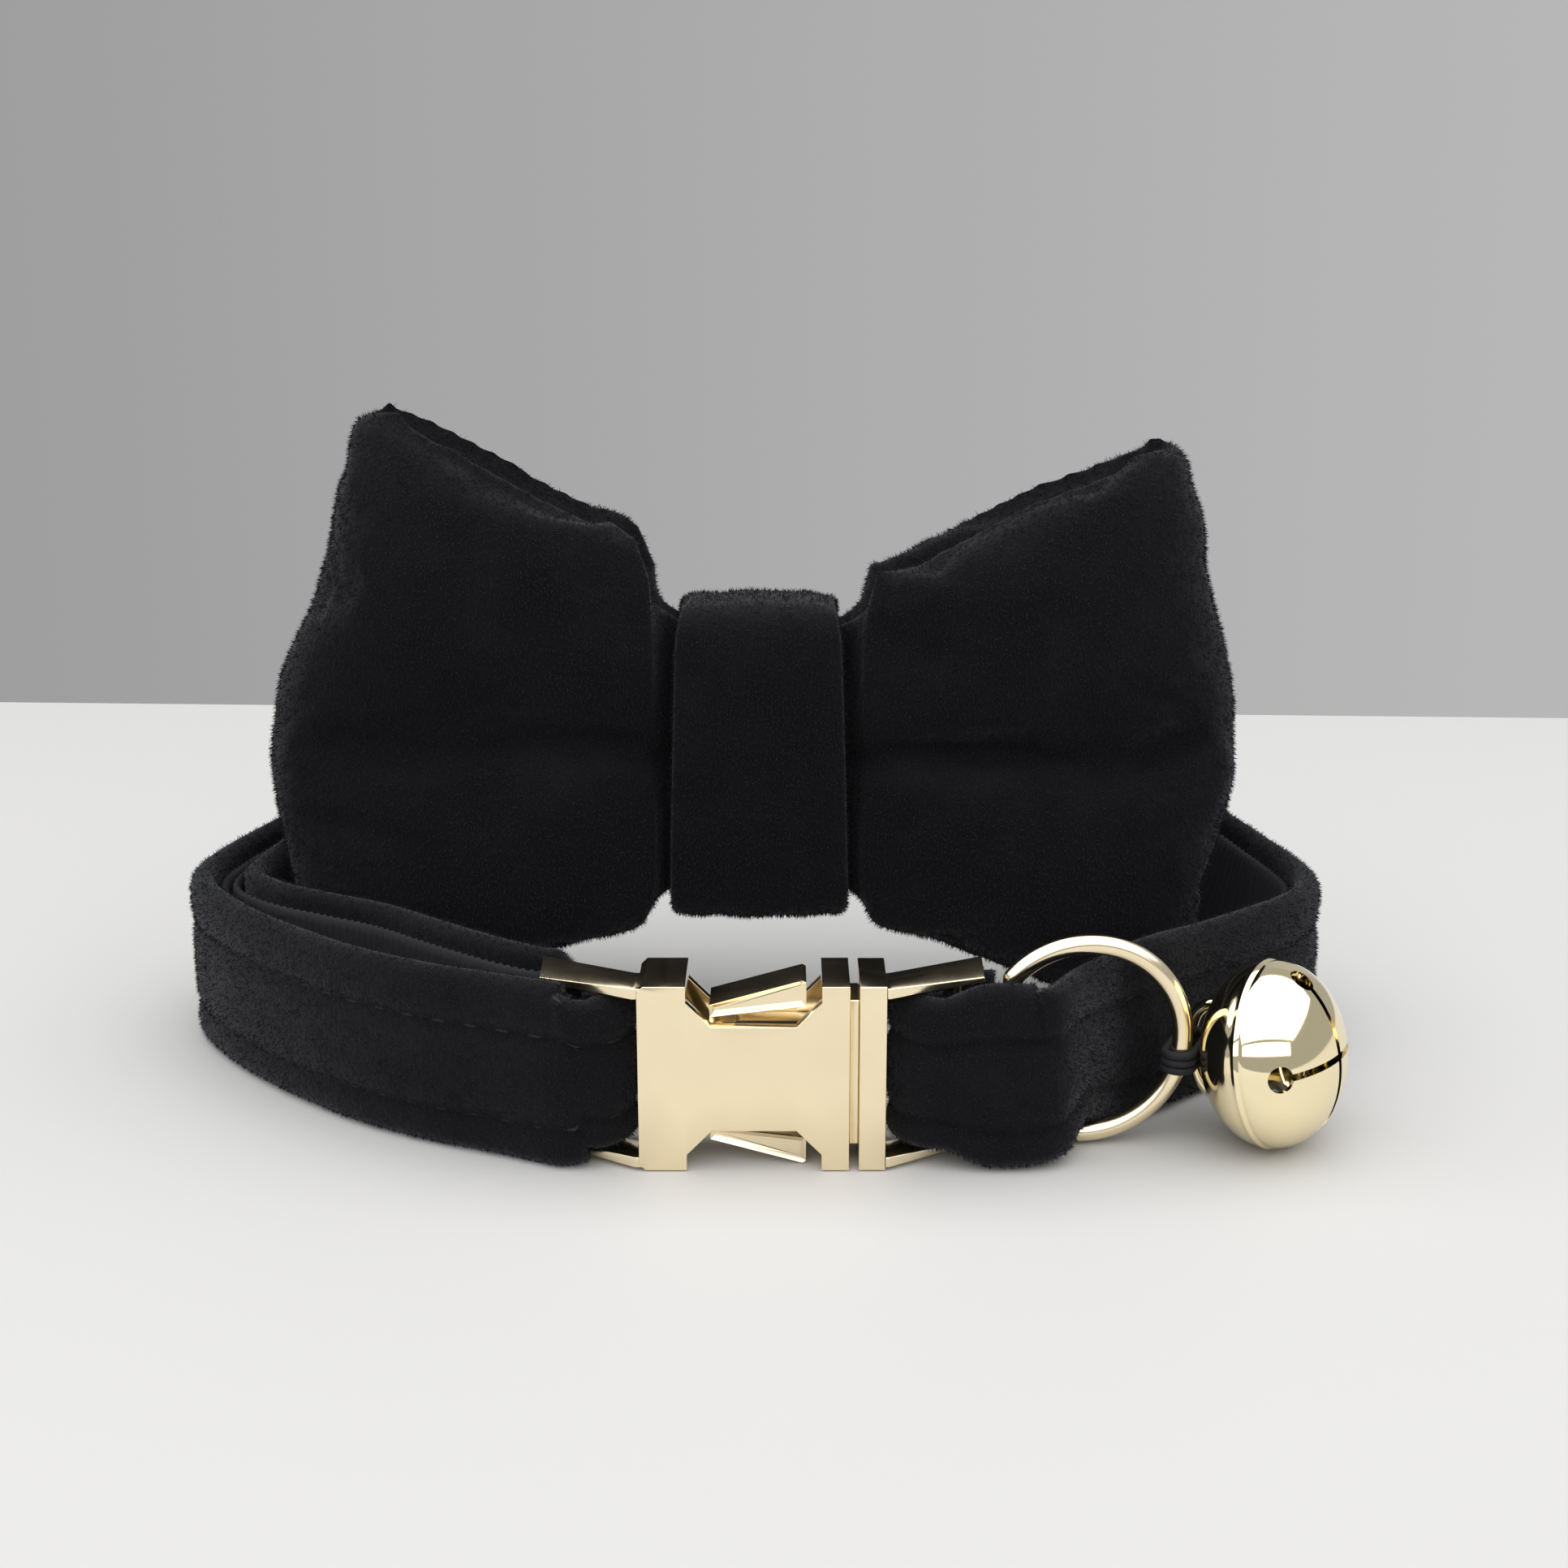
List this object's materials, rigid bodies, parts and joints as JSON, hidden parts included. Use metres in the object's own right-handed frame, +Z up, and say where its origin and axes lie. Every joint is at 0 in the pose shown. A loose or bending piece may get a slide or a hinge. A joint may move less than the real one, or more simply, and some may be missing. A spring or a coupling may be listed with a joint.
{
  "type": "pet bow tie collar",
  "caption": "Velvet pet collar with a padded bow, a metal side-release buckle, a ring and a jingle bell, fastened and standing on its edge.",
  "frame": {"origin": "middle of the bounding box's base, on the surface that the fastened collar stands on", "axes": "+Z up along the strap's width, +X to the right along the buckle towards the bell, +Y from the buckle back to the bow"},
  "size_m": [0.101, 0.0514, 0.0563],
  "materials": {
    "velvet": "short black velvet pile",
    "webbing": "ribbed black webbing",
    "buckle_metal": "polished champagne gold plate",
    "bell_metal": "mirror bright gold plate",
    "steel": "plain"
  },
  "bodies": {
    "root": {"collar_strap": "velvet", "strap_webbing": "webbing", "strap_slide": "buckle_metal", "buckle_female": "buckle_metal", "buckle_male": "buckle_metal", "release_tab_top": "buckle_metal", "release_tab_bottom": "buckle_metal", "d_ring": "buckle_metal", "bell": "bell_metal", "bell_pea": "steel", "bell_tie": "webbing", "bow_loop": "velvet", "knot_band": "velvet", "bow_elastic": "webbing"}
  },
  "joints": []
}
